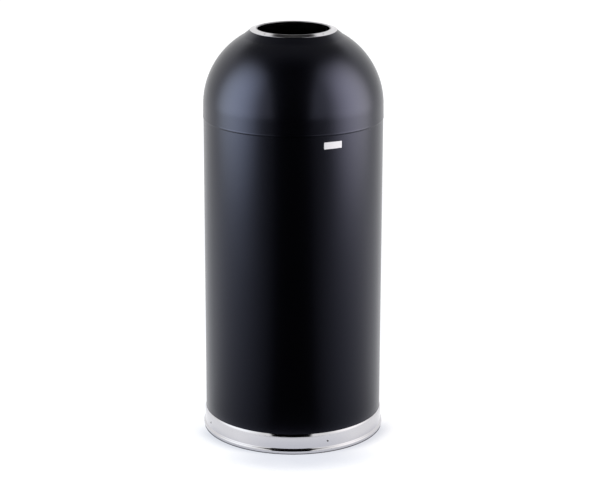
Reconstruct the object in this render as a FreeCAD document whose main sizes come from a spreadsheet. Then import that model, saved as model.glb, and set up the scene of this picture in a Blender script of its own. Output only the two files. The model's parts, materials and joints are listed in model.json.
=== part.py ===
import FreeCAD, Part
import math
import os
import Sketcher
from collections import namedtuple

# Free-standing open-top trash can: a rolled steel body on a bright base ring, a lift-off spun dome with a
# round trimmed opening, and a galvanised lift-out liner with a bail handle. Millimetres and degrees, +Z up,
# origin on the floor under the middle of the can. The front faces -Y.

doc = FreeCAD.newDocument("open_top_trash_can")

DRIVING_SIZES = (
    # Clearances shared by all pieces
    ("fit_gap", 0.1, "gap between pieces that are riveted together"),
    ("sleeve_gap", 0.3, "gap between round pieces that are pushed into one another"),
    ("seat_gap", 0.3, "gap under pieces that lift off"),
    # Body
    ("body_radius", 190.0, "outside of the rolled shell"),
    ("shell_wall", 0.8, "sheet of the shell"),
    ("seam_height", 688.8, "top edge of the shell above the floor"),
    ("neck_wall", 0.8, "sheet of the collar inside the mouth of the shell"),
    ("neck_lap", 20.8, "collar below the edge of the shell"),
    ("neck_rise", 18.2, "straight collar above the edge of the shell"),
    ("neck_lead", 4.0, "height of the collar's turned-in top"),
    ("neck_lead_in", 1.0, "how far the collar's top turns in"),
    # Base
    ("base_sheet", 1.0, "sheet of the base ring"),
    ("base_height", 43.4, "top of the base ring above the floor"),
    ("base_stand", 2.4, "base ring's band outside the shell"),
    ("base_lip", 6.0, "height of the base ring's rounded shoulder"),
    ("base_bead", 5.2, "radius of the bead at the base ring's foot"),
    ("base_reach", 5.8, "bead's furthest reach outside the shell"),
    ("base_flare", 4.0, "radius of the hollow between band and bead"),
    ("base_flange", 9.3, "flange turned in under the can, from the middle of the bead"),
    ("floor_pad", 0.8, "rubber under the base ring"),
    ("floor_pad_out", 4.0, "rubber outside the middle of the bead"),
    ("floor_grip", 4.0, "rubber lip over the flange"),
    ("floor_lip", 1.5, "thickness of that lip"),
    ("floor_web", 2.9, "rubber inside the flange's edge"),
    ("plate_sheet", 1.0, "sheet of the base plate"),
    ("plate_height", 32.0, "top of the base plate above the floor"),
    ("plate_corner", 4.0, "outside corner radius of the base plate"),
    ("plate_recess", 4.0, "depth of the plate's pressed middle"),
    ("plate_recess_radius", 120.0, "radius of the pressed middle"),
    ("plate_recess_run", 8.0, "width of the slope round the pressed middle"),
    ("base_rivet_height", 24.5, "base rivets above the floor"),
    ("base_rivet_turn", -3.0, "first base rivet, turned from the front"),
    ("base_rivet_shank", 1.6, "shank radius"),
    ("base_rivet_head", 2.6, "head radius"),
    ("base_rivet_dome", 1.2, "head height"),
    ("base_rivet_tail", 1.2, "height of the set tail"),
    # Dome and its opening
    ("dome_wall", 0.8, "sheet of the dome"),
    ("dome_clearance", 0.7, "dome skirt round the collar"),
    ("dome_skirt", 27.9, "straight skirt of the dome"),
    ("dome_rim_bead", 2.4, "half height of the bead on the dome's lower edge"),
    ("dome_rim_stand", 0.6, "how far that bead stands out"),
    ("knuckle_inset", 22.4, "centre of the dome's side arc from the axis"),
    ("crown_margin", 7.1, "top arc of the dome outside the opening ring"),
    ("opening_radius", 76.0, "clear radius of the opening"),
    ("flange_inset", 8.5, "middle of the ring's flange outside the opening"),
    ("flange_half", 6.5, "outer half of the ring's flange along its slope"),
    ("crest_radius", 1.7, "ring's rounding over into the opening"),
    ("ring_corner", 0.3, "ring's rounding at its outer edge"),
    ("ring_sheet", 1.0, "sheet of the opening ring"),
    ("collar_depth", 16.0, "ring's collar below the middle of its flange"),
    ("seat_rise", 3.0, "dome's raised seat under the ring"),
    ("seat_out", 6.2, "seat outside the middle of the flange"),
    ("seat_slope", 13.0, "fall of the seat and the ring, in degrees"),
    ("seat_run", 6.0, "run of the step round the seat"),
    ("seat_in", 5.0, "seat inside the middle of the flange"),
    ("ring_rivet_turn", 20.3, "first ring rivet, turned from the front"),
    ("ring_rivet_shank", 1.2, "shank radius"),
    ("ring_rivet_head", 2.0, "head radius"),
    ("ring_rivet_dome", 0.8, "head height"),
    ("ring_rivet_tail", 0.9, "height of the set tail"),
    # Liner
    ("liner_sheet", 0.7, "sheet of the liner"),
    ("liner_room", 17.2, "room between the liner's mouth and the shell"),
    ("liner_taper", 8.0, "how far the liner's foot lies inside its mouth"),
    ("rim_drop", 41.5, "middle of the liner's rim below the seam"),
    ("rim_wire_radius", 2.0, "wire rolled into the rim"),
    ("rim_wire_gap", 0.5, "rolled rim round its wire"),
    ("liner_lift", 8.0, "liner's bottom above its foot"),
    ("liner_corner", 2.5, "outside corner radius of the liner's bottom"),
    # Bail and its ears
    ("ear_sheet", 1.5, "sheet of the bail ears"),
    ("ear_stand", 6.5, "ear's face outside the liner's mouth"),
    ("ear_half", 8.0, "half height of the ear's face"),
    ("ear_riser", 3.0, "height of the slope beside the face"),
    ("ear_foot", 9.0, "height of each riveted foot"),
    ("ear_spread", 13.0, "angle that an ear covers"),
    ("ear_hole_gap", 0.3, "wire's play in the ear"),
    ("ear_rivet_shank", 2.0, "shank radius"),
    ("ear_rivet_head", 3.6, "head radius"),
    ("ear_rivet_dome", 1.8, "head height"),
    ("ear_rivet_tail", 1.2, "height of the set tail"),
    ("bail_wire_radius", 2.5, "wire of the bail"),
    ("bail_arm_gap", 2.5, "bail's arm outside the ear's face"),
    ("bail_bend", 4.0, "bend where the bail turns into the ear"),
    ("bail_head", 4.0, "radius of the upset end behind the ear"),
    ("bail_head_height", 1.5, "height of the upset end"),
    ("bail_head_play", 1.0, "upset end's play behind the ear"),
    ("bail_rest", 13.0, "bail's tilt where the grip lies on the rim"),
    ("grip_radius", 7.0, "outside of the grip"),
    ("grip_spread", 34.0, "angle of the bail that the grip covers"),
)

BASE_RIVETS = 4
RING_RIVETS = 4
EARS = 2
FULL_TURN = 360.0
FRONT = -90.0
SIDEWAYS = 90.0

sheet = doc.addObject("Spreadsheet::Sheet", "sizes")
for row, (alias, number, meaning) in enumerate(DRIVING_SIZES, start=1):
    sheet.set(f"A{row}", meaning)
    sheet.set(f"B{row}", str(number))
    sheet.setAlias(f"B{row}", alias)
worked_out = doc.addObject("App::VarSet", "worked_out")
doc.recompute()


class Size:
    """A length, angle or ratio: its number now and the expression that keeps it bound to the sheet."""

    def __init__(self, number, text):
        self.number = number
        self.text = text

    def __add__(self, other):
        other = as_size(other)
        return Size(self.number + other.number, f"({self.text} + {other.text})")

    def __sub__(self, other):
        other = as_size(other)
        return Size(self.number - other.number, f"({self.text} - {other.text})")

    def __mul__(self, other):
        other = as_size(other)
        return Size(self.number * other.number, f"({self.text} * {other.text})")

    def __truediv__(self, other):
        other = as_size(other)
        return Size(self.number / other.number, f"({self.text} / {other.text})")

    def __radd__(self, other):
        return as_size(other) + self

    def __rsub__(self, other):
        return as_size(other) - self

    def __rmul__(self, other):
        return as_size(other) * self

    def __neg__(self):
        return Size(-self.number, f"(0 - {self.text})")


def as_size(item):
    return item if isinstance(item, Size) else Size(float(item), str(float(item)))


def root(size):
    return Size(math.sqrt(size.number), f"sqrt({size.text})")


def cosine(angle):
    return Size(math.cos(math.radians(angle.number)), f"cos({angle.text} * 1deg)")


def sine(angle):
    return Size(math.sin(math.radians(angle.number)), f"sin({angle.text} * 1deg)")


def size(alias):
    return Size(float(sheet.get(alias)), f"sizes.{alias}")


def worked(name, result):
    """Keeps a worked-out size in the document under a name of its own."""
    worked_out.addProperty("App::PropertyFloat", name)
    worked_out.setExpression(name, result.text)
    return Size(result.number, f"worked_out.{name}")


def bind(thing, where, item):
    thing.setExpression(where, as_size(item).text)


Point = namedtuple("Point", "across up")
Bend = namedtuple("Bend", "end centre turn")
ANTICLOCKWISE = 1
CLOCKWISE = -1
# A sketch numbers an edge and the spots on it from 0, and its own two axes down from -1
SPOTS = ("edge", "start", "end", "centre")
AXES = ("across axis", "up axis")


def axis_number(name):
    return -1 - AXES.index(name)


def fix_point(sketch, edge, which, point, ways=("DistanceX", "DistanceY")):
    """Holds an end or centre of an edge at its place from the sketch's origin."""
    spot = SPOTS.index(which)
    origin = axis_number("across axis"), SPOTS.index("start")
    for way in ways:
        place, axis = (point.across, "up axis") if way == "DistanceX" else (point.up, "across axis")
        if not isinstance(place, Size) and place == 0:
            sketch.addConstraint(Sketcher.Constraint("PointOnObject", edge, spot, axis_number(axis)))
            continue
        at = as_size(place)
        index = sketch.addConstraint(Sketcher.Constraint(way, *origin, edge, spot, at.number))
        bind(sketch, f"Constraints[{index}]", at)


def vector(point):
    return FreeCAD.Vector(as_size(point.across).number, as_size(point.up).number, 0)


UPWARD = FreeCAD.Vector(0, 0, 1)


def draw_bend(sketch, here, bend):
    """An arc between two points that are held elsewhere, so one distance to its centre settles it."""
    middle = vector(bend.centre)
    ends = [here, bend.end] if bend.turn == ANTICLOCKWISE else [bend.end, here]
    spokes = [vector(end) - middle for end in ends]
    angles = [math.atan2(spoke.y, spoke.x) for spoke in spokes]
    if angles[1] <= angles[0]:
        angles[1] += 2 * math.pi
    edge = sketch.addGeometry(Part.ArcOfCircle(Part.Circle(middle, UPWARD, spokes[0].Length), *angles))
    chord = spokes[1] - spokes[0]
    way = "DistanceX" if abs(chord.y) > abs(chord.x) else "DistanceY"
    fix_point(sketch, edge, "centre", bend.centre, [way])
    return edge


def join(sketch, before, after):
    """Ends one drawn edge where the next begins."""
    edge, _, last = before
    next_edge, first, _ = after
    ends = edge, SPOTS.index(last), next_edge, SPOTS.index(first)
    sketch.addConstraint(Sketcher.Constraint("Coincident", *ends))


def draw(sketch, start, path, closed=True):
    """Draws an outline from start along points and bends, each point bound to its sizes."""
    here = start
    edges = []
    for step in path:
        if isinstance(step, Bend):
            edge = draw_bend(sketch, here, step)
            first, last = ("start", "end") if step.turn == ANTICLOCKWISE else ("end", "start")
            there = step.end
        else:
            edge = sketch.addGeometry(Part.LineSegment(vector(here), vector(step)))
            first, last = "start", "end"
            there = step
        if edges:
            join(sketch, edges[-1], (edge, first, last))
        fix_point(sketch, edge, first, here)
        edges.append((edge, first, last))
        here = there
    if closed:
        join(sketch, edges[-1], edges[0])
    else:
        fix_point(sketch, edges[-1][0], edges[-1][2], here)


def draw_circle(sketch, centre, radius):
    edge = sketch.addGeometry(Part.Circle(vector(centre), UPWARD, radius.number))
    fix_point(sketch, edge, "centre", centre)
    index = sketch.addConstraint(Sketcher.Constraint("Radius", edge, radius.number))
    bind(sketch, f"Constraints[{index}]", radius)


def origin_feature(body, role):
    return next(feature for feature in body.Origin.OriginFeatures if feature.Role == role)


def new_body(label):
    body = doc.addObject("PartDesign::Body", label)
    body.Label = label
    return body


def new_sketch(body, name, plane="XZ_Plane"):
    sketch = body.newObject("Sketcher::SketchObject", f"{body.Name}_{name}")
    sketch.AttachmentSupport = [(origin_feature(body, plane), "")]
    sketch.MapMode = "FlatFace"
    return sketch


def revolve(body, sketch, axis="V_Axis", angle=FULL_TURN, midplane=False):
    feature = body.newObject("PartDesign::Revolution", f"{sketch.Name}_turned")
    feature.Profile = sketch
    feature.ReferenceAxis = (sketch, [axis])
    feature.Midplane = midplane
    bind(feature, "Angle", angle)
    return feature


def turned_piece(label, start, path):
    """A piece that is one section turned all round the can's axis."""
    body = new_body(label)
    sketch = new_sketch(body, "section")
    draw(sketch, start, path)
    revolve(body, sketch)
    return body


def turn_body(body, angle):
    body.Placement = FreeCAD.Placement(FreeCAD.Vector(), FreeCAD.Rotation(FreeCAD.Vector(0, 0, 1), 1))
    bind(body, "Placement.Rotation.Angle", angle)


def repeat_round(body, features, count):
    """Repeats features evenly round the can's axis."""
    pattern = body.newObject("PartDesign::PolarPattern", f"{body.Name}_round")
    pattern.Originals = features
    pattern.Axis = (origin_feature(body, "Z_Axis"), [""])
    pattern.Angle = FULL_TURN
    pattern.Occurrences = count
    body.Tip = pattern


def cut_holes(body, sketch):
    """Cuts a sketch's circles through the wall on its own side."""
    pocket = body.newObject("PartDesign::Pocket", f"{sketch.Name}_cut")
    pocket.Profile = sketch
    pocket.Type = "ThroughAll"
    pocket.Reversed = True
    return pocket


def side_holes(body, name, heights, radius):
    """Holes through a wall, looking along +X before the body is turned."""
    sketch = new_sketch(body, name, "YZ_Plane")
    for height in heights:
        draw_circle(sketch, Point(0, height), radius)
    return cut_holes(body, sketch)


def rivet(body, name, tail_end, tilt, shank, head, dome, tail, grip):
    """One set rivet, standing on the end of its tail and tilted in the plane of the section."""
    sketch = new_sketch(body, name)
    sketch.AttachmentOffset = FreeCAD.Placement(
        FreeCAD.Vector(), FreeCAD.Rotation(FreeCAD.Vector(0, 0, -1), 1))
    bind(sketch, "AttachmentOffset.Base.x", tail_end.across)
    bind(sketch, "AttachmentOffset.Base.y", tail_end.up)
    bind(sketch, "AttachmentOffset.Rotation.Angle", tilt)
    under_head = tail + grip
    dome_radius = (head * head + dome * dome) / (2 * dome)
    draw(sketch, Point(0, 0), (
        Point(head, 0),
        Point(head, tail),
        Point(shank, tail),
        Point(shank, under_head),
        Point(head, under_head),
        Bend(Point(0, under_head + dome), Point(0, under_head + dome - dome_radius), ANTICLOCKWISE),
        Point(0, 0),
    ))
    return revolve(body, sketch)


fit_gap = size("fit_gap")
sleeve_gap = size("sleeve_gap")
seat_gap = size("seat_gap")

# Body: the rolled shell stands on the base ring's flange, with a locating collar in its mouth
body_radius = size("body_radius")
shell_inside = worked("shell_inside", body_radius - size("shell_wall"))
seam_height = size("seam_height")
base_sheet = size("base_sheet")
floor_pad = size("floor_pad")
flange_top = worked("flange_top", floor_pad + base_sheet)
base_rivet_height = size("base_rivet_height")
base_rivet_hole = worked("base_rivet_hole", size("base_rivet_shank") + fit_gap / 2)
base_rivet_angle = FRONT + size("base_rivet_turn")


def make_body_shell():
    shell = turned_piece("body_shell", Point(shell_inside, flange_top), (
        Point(body_radius, flange_top),
        Point(body_radius, seam_height),
        Point(shell_inside, seam_height),
        Point(shell_inside, flange_top),
    ))
    holes = side_holes(shell, "holes", [base_rivet_height], base_rivet_hole)
    repeat_round(shell, [holes], BASE_RIVETS)
    turn_body(shell, base_rivet_angle)
    return shell


neck_outside = worked("neck_outside", shell_inside - sleeve_gap)
neck_inside = worked("neck_inside", neck_outside - size("neck_wall"))


def make_neck_collar():
    low = seam_height - size("neck_lap")
    straight = seam_height + size("neck_rise")
    top = straight + size("neck_lead")
    lead_in = size("neck_lead_in")
    return turned_piece("neck_collar", Point(neck_inside, low), (
        Point(neck_outside, low),
        Point(neck_outside, straight),
        Point(neck_outside - lead_in, top),
        Point(neck_inside - lead_in, top),
        Point(neck_inside, straight),
        Point(neck_inside, low),
    ))


# Base: a bright pressed ring riveted round the foot, over a rubber floor ring, with a plate inside
base_bead = size("base_bead")
bead_across = worked("bead_across", body_radius + size("base_reach") - base_bead)
bead_up = worked("bead_up", floor_pad + base_bead)
band_outside = worked("band_outside", body_radius + size("base_stand"))
band_inside = worked("band_inside", band_outside - base_sheet)
flange_edge = worked("flange_edge", bead_across - size("base_flange"))


def make_base_ring():
    height = size("base_height")
    flare = size("base_flare")
    lip_end = body_radius + sleeve_gap
    lip_depth = band_outside - lip_end
    lip_height = size("base_lip")
    lip_foot = height - lip_height
    lip_radius = worked("lip_radius", (lip_depth * lip_depth + lip_height * lip_height) / (2 * lip_depth))
    lip_centre = Point(band_outside - lip_radius, lip_foot)
    lip_inner_radius = lip_radius - base_sheet
    lip_inner_rise = root(lip_inner_radius * lip_inner_radius
                          - (lip_end - lip_centre.across) * (lip_end - lip_centre.across))
    flare_across = band_outside + flare
    centres_across = flare_across - bead_across
    centres_apart = flare + base_bead
    centres_up = root(centres_apart * centres_apart - centres_across * centres_across)
    flare_up = worked("flare_up", bead_up + centres_up)
    flare_centre = Point(flare_across, flare_up)
    bead_centre = Point(bead_across, bead_up)

    def handover(radius):
        """Where the hollow meets the bead, on the bead's circle of this radius."""
        share = radius / centres_apart
        return Point(bead_across + centres_across * share, bead_up + centres_up * share)

    bead_inner = base_bead - base_sheet
    ring = turned_piece("base_ring", Point(lip_end, height), (
        Point(lip_end, lip_foot + lip_inner_rise),
        Bend(Point(band_inside, lip_foot), lip_centre, CLOCKWISE),
        Point(band_inside, flare_up),
        Bend(handover(bead_inner), flare_centre, ANTICLOCKWISE),
        Bend(Point(bead_across, flange_top), bead_centre, CLOCKWISE),
        Point(flange_edge, flange_top),
        Point(flange_edge, floor_pad),
        Point(bead_across, floor_pad),
        Bend(handover(base_bead), bead_centre, ANTICLOCKWISE),
        Bend(Point(band_outside, flare_up), flare_centre, CLOCKWISE),
        Point(band_outside, lip_foot),
        Bend(Point(lip_end, height), lip_centre, ANTICLOCKWISE),
    ))
    holes = side_holes(ring, "holes", [base_rivet_height], base_rivet_hole)
    repeat_round(ring, [holes], BASE_RIVETS)
    turn_body(ring, base_rivet_angle)
    return ring


def make_floor_ring():
    inner_edge = flange_edge - size("floor_web")
    slot_end = flange_edge - fit_gap
    lip_edge = flange_edge + size("floor_grip")
    lip_top = flange_top + size("floor_lip")
    outer_edge = bead_across + size("floor_pad_out")
    return turned_piece("floor_ring", Point(inner_edge, 0), (
        Point(outer_edge, 0),
        Point(outer_edge, floor_pad),
        Point(slot_end, floor_pad),
        Point(slot_end, flange_top),
        Point(lip_edge, flange_top),
        Point(lip_edge, lip_top),
        Point(inner_edge, lip_top),
        Point(inner_edge, 0),
    ))


plate_outside = worked("plate_outside", shell_inside - sleeve_gap)
plate_inside = worked("plate_inside", plate_outside - size("plate_sheet"))
plate_height = size("plate_height")


def make_base_plate():
    gauge = size("plate_sheet")
    corner = size("plate_corner")
    slope_foot = size("plate_recess_radius")
    slope_top = slope_foot + size("plate_recess_run")
    middle = plate_height - size("plate_recess")
    corner_centre = Point(plate_outside - corner, plate_height - corner)
    plate = turned_piece("base_plate", Point(plate_inside, flange_top), (
        Point(plate_outside, flange_top),
        Point(plate_outside, corner_centre.up),
        Bend(Point(corner_centre.across, plate_height), corner_centre, ANTICLOCKWISE),
        Point(slope_top, plate_height),
        Point(slope_foot, middle),
        Point(0, middle),
        Point(0, middle - gauge),
        Point(slope_foot, middle - gauge),
        Point(slope_top, plate_height - gauge),
        Point(corner_centre.across, plate_height - gauge),
        Bend(Point(plate_inside, corner_centre.up), corner_centre, CLOCKWISE),
        Point(plate_inside, flange_top),
    ))
    holes = side_holes(plate, "holes", [base_rivet_height], base_rivet_hole)
    repeat_round(plate, [holes], BASE_RIVETS)
    turn_body(plate, base_rivet_angle)
    return plate


def make_base_rivets():
    rivets = new_body("base_rivets")
    tail = size("base_rivet_tail")
    tail_end = Point(plate_inside - fit_gap - tail, base_rivet_height)
    grip = band_outside + fit_gap - (plate_inside - fit_gap)
    first = rivet(rivets, "rivet", tail_end, SIDEWAYS, size("base_rivet_shank"), size("base_rivet_head"),
                  size("base_rivet_dome"), tail, grip)
    repeat_round(rivets, [first], BASE_RIVETS)
    turn_body(rivets, base_rivet_angle)
    return rivets


# Dome: a straight skirt, a side arc and a flatter crown, with a raised seat for the opening ring
dome_inside = worked("dome_inside", neck_outside + size("dome_clearance"))
dome_outside = worked("dome_outside", dome_inside + size("dome_wall"))
dome_foot = worked("dome_foot", seam_height + seat_gap)
spring = worked("spring", dome_foot + size("dome_skirt"))
knuckle_inset = size("knuckle_inset")
knuckle_radius = worked("knuckle_radius", dome_outside - knuckle_inset)
opening_radius = size("opening_radius")
flange_middle = worked("flange_middle", opening_radius + size("flange_inset"))
crown_edge = worked("crown_edge", flange_middle + size("flange_half") + size("crown_margin"))
crown_cosine = worked("crown_cosine", (crown_edge - knuckle_inset) / knuckle_radius)
crown_sine = worked("crown_sine", root(1 - crown_cosine * crown_cosine))
crown_radius = worked("crown_radius", crown_edge / crown_cosine)
crown_centre_up = worked("crown_centre_up", spring + (knuckle_radius - crown_radius) * crown_sine)
slope_angle = size("seat_slope")
slope_sine = worked("slope_sine", sine(slope_angle))
slope_cosine = worked("slope_cosine", cosine(slope_angle))
crown_rise = root(crown_radius * crown_radius - flange_middle * flange_middle)
flange_level = worked("flange_level", crown_centre_up + crown_rise)


def on_slope(along, above):
    """A point from the middle of the flange: along runs outward down the dome, above stands off it."""
    along = as_size(along)
    above = as_size(above)
    return Point(flange_middle + along * slope_cosine + above * slope_sine,
                 flange_level - along * slope_sine + above * slope_cosine)


seat_rise = size("seat_rise")
dome_wall = size("dome_wall")


def tilted_holes(body, radius):
    """A hole square through the sloping seat or flange, at its middle."""
    sketch = new_sketch(body, "holes", "XY_Plane")
    sketch.AttachmentOffset = FreeCAD.Placement(
        FreeCAD.Vector(), FreeCAD.Rotation(FreeCAD.Vector(0, 1, 0), 1))
    start = on_slope(0, -dome_wall)
    bind(sketch, "AttachmentOffset.Base.x", start.across)
    bind(sketch, "AttachmentOffset.Base.z", start.up)
    bind(sketch, "AttachmentOffset.Rotation.Angle", slope_angle)
    draw_circle(sketch, Point(0, 0), radius)
    return cut_holes(body, sketch)


ring_rivet_hole = worked("ring_rivet_hole", size("ring_rivet_shank") + fit_gap / 2)
ring_rivet_angle = FRONT + size("ring_rivet_turn")


def make_dome_shell():
    bead = size("dome_rim_bead")
    stand = size("dome_rim_stand")
    bead_radius = worked("dome_bead_radius", (bead * bead + stand * stand) / (2 * stand))
    bead_centre = Point(dome_outside + stand - bead_radius, dome_foot + bead)
    knuckle_centre = Point(knuckle_inset, spring)
    crown_centre = Point(0, crown_centre_up)
    inner_crown = crown_radius - dome_wall
    foot_across = flange_middle + (size("seat_out") + size("seat_run")) * slope_cosine
    inner_foot_across = foot_across - dome_wall

    def crown_point(radius, across):
        return Point(across, crown_centre_up + root(radius * radius - across * across))

    dome = turned_piece("dome_shell", Point(dome_inside, dome_foot), (
        Point(dome_outside, dome_foot),
        Bend(Point(dome_outside, dome_foot + 2 * bead), bead_centre, ANTICLOCKWISE),
        Point(dome_outside, spring),
        Bend(Point(crown_edge, crown_centre_up + crown_radius * crown_sine), knuckle_centre, ANTICLOCKWISE),
        Bend(crown_point(crown_radius, foot_across), crown_centre, ANTICLOCKWISE),
        on_slope(size("seat_out"), seat_rise),
        on_slope(-size("seat_in"), seat_rise),
        on_slope(-size("seat_in"), seat_rise - dome_wall),
        on_slope(size("seat_out") - dome_wall, seat_rise - dome_wall),
        crown_point(inner_crown, inner_foot_across),
        Bend(Point(inner_crown * crown_cosine, crown_centre_up + inner_crown * crown_sine), crown_centre,
             CLOCKWISE),
        Bend(Point(dome_inside, spring), knuckle_centre, CLOCKWISE),
        Point(dome_inside, dome_foot),
    ))
    repeat_round(dome, [tilted_holes(dome, ring_rivet_hole)], RING_RIVETS)
    turn_body(dome, ring_rivet_angle)
    return dome


ring_sheet = size("ring_sheet")
ring_under = worked("ring_under", seat_rise + fit_gap)
ring_over = worked("ring_over", ring_under + ring_sheet)
crest_radius = size("crest_radius")


def make_opening_ring():
    corner = size("ring_corner")
    outer = size("flange_half")
    collar_foot = flange_level - size("collar_depth")
    crest_across = opening_radius + crest_radius
    crest_along = (crest_across - flange_middle - (ring_over - crest_radius) * slope_sine) / slope_cosine
    crest_centre = on_slope(crest_along, ring_over - crest_radius)
    corner_centre = on_slope(outer - corner, ring_over - corner)
    ring = turned_piece("opening_ring", Point(opening_radius, collar_foot), (
        Point(opening_radius + ring_sheet, collar_foot),
        Point(opening_radius + ring_sheet, crest_centre.up),
        Bend(on_slope(crest_along, ring_under), crest_centre, CLOCKWISE),
        on_slope(outer, ring_under),
        on_slope(outer, ring_over - corner),
        Bend(on_slope(outer - corner, ring_over), corner_centre, ANTICLOCKWISE),
        on_slope(crest_along, ring_over),
        Bend(Point(opening_radius, crest_centre.up), crest_centre, ANTICLOCKWISE),
        Point(opening_radius, collar_foot),
    ))
    repeat_round(ring, [tilted_holes(ring, ring_rivet_hole)], RING_RIVETS)
    turn_body(ring, ring_rivet_angle)
    return ring


def make_ring_rivets():
    rivets = new_body("ring_rivets")
    tail = size("ring_rivet_tail")
    under_seat = seat_rise - dome_wall - fit_gap / 2
    grip = ring_over + fit_gap / 2 - under_seat
    first = rivet(rivets, "rivet", on_slope(0, under_seat - tail), slope_angle, size("ring_rivet_shank"),
                  size("ring_rivet_head"), size("ring_rivet_dome"), tail, grip)
    repeat_round(rivets, [first], RING_RIVETS)
    turn_body(rivets, ring_rivet_angle)
    return rivets


# Liner: a tapered sheet bucket with a wire rolled into its rim and a bottom pressed in
liner_sheet = size("liner_sheet")
liner_foot = worked("liner_foot", plate_height + seat_gap)
rim_up = worked("rim_up", seam_height - size("rim_drop"))
liner_mouth = worked("liner_mouth", shell_inside - size("liner_room"))
liner_foot_edge = worked("liner_foot_edge", liner_mouth - size("liner_taper"))
liner_slope = worked("liner_slope", size("liner_taper") / (rim_up - liner_foot))
rim_bore = worked("rim_bore", size("rim_wire_radius") + size("rim_wire_gap"))
rim_outer = worked("rim_outer", rim_bore + liner_sheet)
rim_across = worked("rim_across", liner_mouth + rim_bore)


def liner_outside(height):
    return liner_foot_edge + (height - liner_foot) * liner_slope


# The bail's pivot hangs below the rim so that the ends of the grip lie on the rim when the bail is down
ear_face = worked("ear_face", liner_mouth + size("ear_stand"))
bail_radius = worked("bail_radius", ear_face + size("bail_arm_gap") + size("bail_wire_radius"))
grip_reach = worked("grip_reach", size("grip_radius") + rim_outer + seat_gap)
grip_half = size("grip_spread") / 2
grip_end_side = worked("grip_end_side", bail_radius * sine(grip_half))
grip_end_along = worked("grip_end_along", bail_radius * cosine(grip_half))
grip_end_out = worked("grip_end_out", grip_end_along * cosine(size("bail_rest")))
grip_end_across = root(grip_end_side * grip_end_side + grip_end_out * grip_end_out)
grip_inset = worked("grip_inset", grip_end_across - rim_across)
grip_end_up = worked("grip_end_up", grip_end_along * sine(size("bail_rest")))
pivot_height = worked("pivot_height", rim_up + root(grip_reach * grip_reach - grip_inset * grip_inset)
                      - grip_end_up)
foot_middle = size("ear_half") + size("ear_riser") + size("ear_foot") / 2
ear_rivet_heights = (
    worked("ear_rivet_low", pivot_height - foot_middle),
    worked("ear_rivet_high", pivot_height + foot_middle),
)
ear_rivet_hole = worked("ear_rivet_hole", size("ear_rivet_shank") + fit_gap / 2)


def make_liner_wall():
    rim_centre = Point(rim_across, rim_up)
    wall = turned_piece("liner_wall", Point(liner_foot_edge - liner_sheet, liner_foot), (
        Point(liner_foot_edge, liner_foot),
        Point(liner_mouth, rim_up),
        Bend(Point(rim_across, rim_up - rim_bore), rim_centre, CLOCKWISE),
        Point(rim_across, rim_up - rim_outer),
        Bend(Point(liner_mouth - liner_sheet, rim_up), rim_centre, ANTICLOCKWISE),
        Point(liner_foot_edge - liner_sheet, liner_foot),
    ))
    holes = side_holes(wall, "holes", ear_rivet_heights, ear_rivet_hole)
    repeat_round(wall, [holes], EARS)
    return wall


def make_liner_bottom():
    corner = size("liner_corner")
    top = liner_foot + size("liner_lift")
    foot_edge = liner_foot_edge - liner_sheet - sleeve_gap
    top_edge = liner_outside(top) - liner_sheet - sleeve_gap
    corner_centre = Point(top_edge - corner, top - corner)
    return turned_piece("liner_bottom", Point(foot_edge - liner_sheet, liner_foot), (
        Point(foot_edge, liner_foot),
        Point(top_edge, corner_centre.up),
        Bend(Point(corner_centre.across, top), corner_centre, ANTICLOCKWISE),
        Point(0, top),
        Point(0, top - liner_sheet),
        Point(corner_centre.across, top - liner_sheet),
        Bend(Point(top_edge - liner_sheet, corner_centre.up), corner_centre, CLOCKWISE),
        Point(foot_edge - liner_sheet, liner_foot),
    ))


def make_rim_wire():
    wire = doc.addObject("Part::Torus", "rim_wire")
    wire.Label = "rim_wire"
    bind(wire, "Radius1", rim_across)
    bind(wire, "Radius2", size("rim_wire_radius"))
    bind(wire, "Placement.Base.z", rim_up)
    return wire


# Bail ears: pressed hat sections riveted to the liner, with the bail's end hooked behind the raised face
ear_sheet = size("ear_sheet")
ear_hole = worked("ear_hole", size("bail_wire_radius") + size("ear_hole_gap"))


def make_ear(label, side):
    face_half = size("ear_half")
    riser_end = face_half + size("ear_riser")
    foot_end = riser_end + size("ear_foot")
    inner_face_half = face_half - ear_sheet / 2
    inner_riser_end = riser_end - ear_sheet / 2

    def on_liner(offset, stand_off):
        height = pivot_height + offset
        return Point(liner_outside(height) + fit_gap + stand_off, height)

    def on_face(offset, back):
        return Point(ear_face - back, pivot_height + offset)

    ear = new_body(label)
    sketch = new_sketch(ear, "section")
    draw(sketch, on_liner(-foot_end, 0), (
        on_liner(-foot_end, ear_sheet),
        on_liner(-riser_end, ear_sheet),
        on_face(-face_half, 0),
        on_face(face_half, 0),
        on_liner(riser_end, ear_sheet),
        on_liner(foot_end, ear_sheet),
        on_liner(foot_end, 0),
        on_liner(inner_riser_end, 0),
        on_face(inner_face_half, ear_sheet),
        on_face(-inner_face_half, ear_sheet),
        on_liner(-inner_riser_end, 0),
        on_liner(-foot_end, 0),
    ))
    revolve(ear, sketch, angle=size("ear_spread"), midplane=True)
    side_holes(ear, "rivet_holes", ear_rivet_heights, ear_rivet_hole)
    side_holes(ear, "pivot_hole", [pivot_height], ear_hole)
    turn_body(ear, side)
    return ear


def make_ear_rivets():
    rivets = new_body("ear_rivets")
    tail = size("ear_rivet_tail")
    heads = []
    for name, height in zip(("low", "high"), ear_rivet_heights):
        wall_face = liner_outside(height) - liner_sheet - fit_gap
        grip = fit_gap + ear_sheet + liner_sheet + fit_gap + fit_gap
        heads.append(rivet(rivets, name, Point(wall_face - tail, height), SIDEWAYS, size("ear_rivet_shank"),
                           size("ear_rivet_head"), size("ear_rivet_dome"), tail, grip))
    repeat_round(rivets, heads, EARS)
    return rivets


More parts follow.
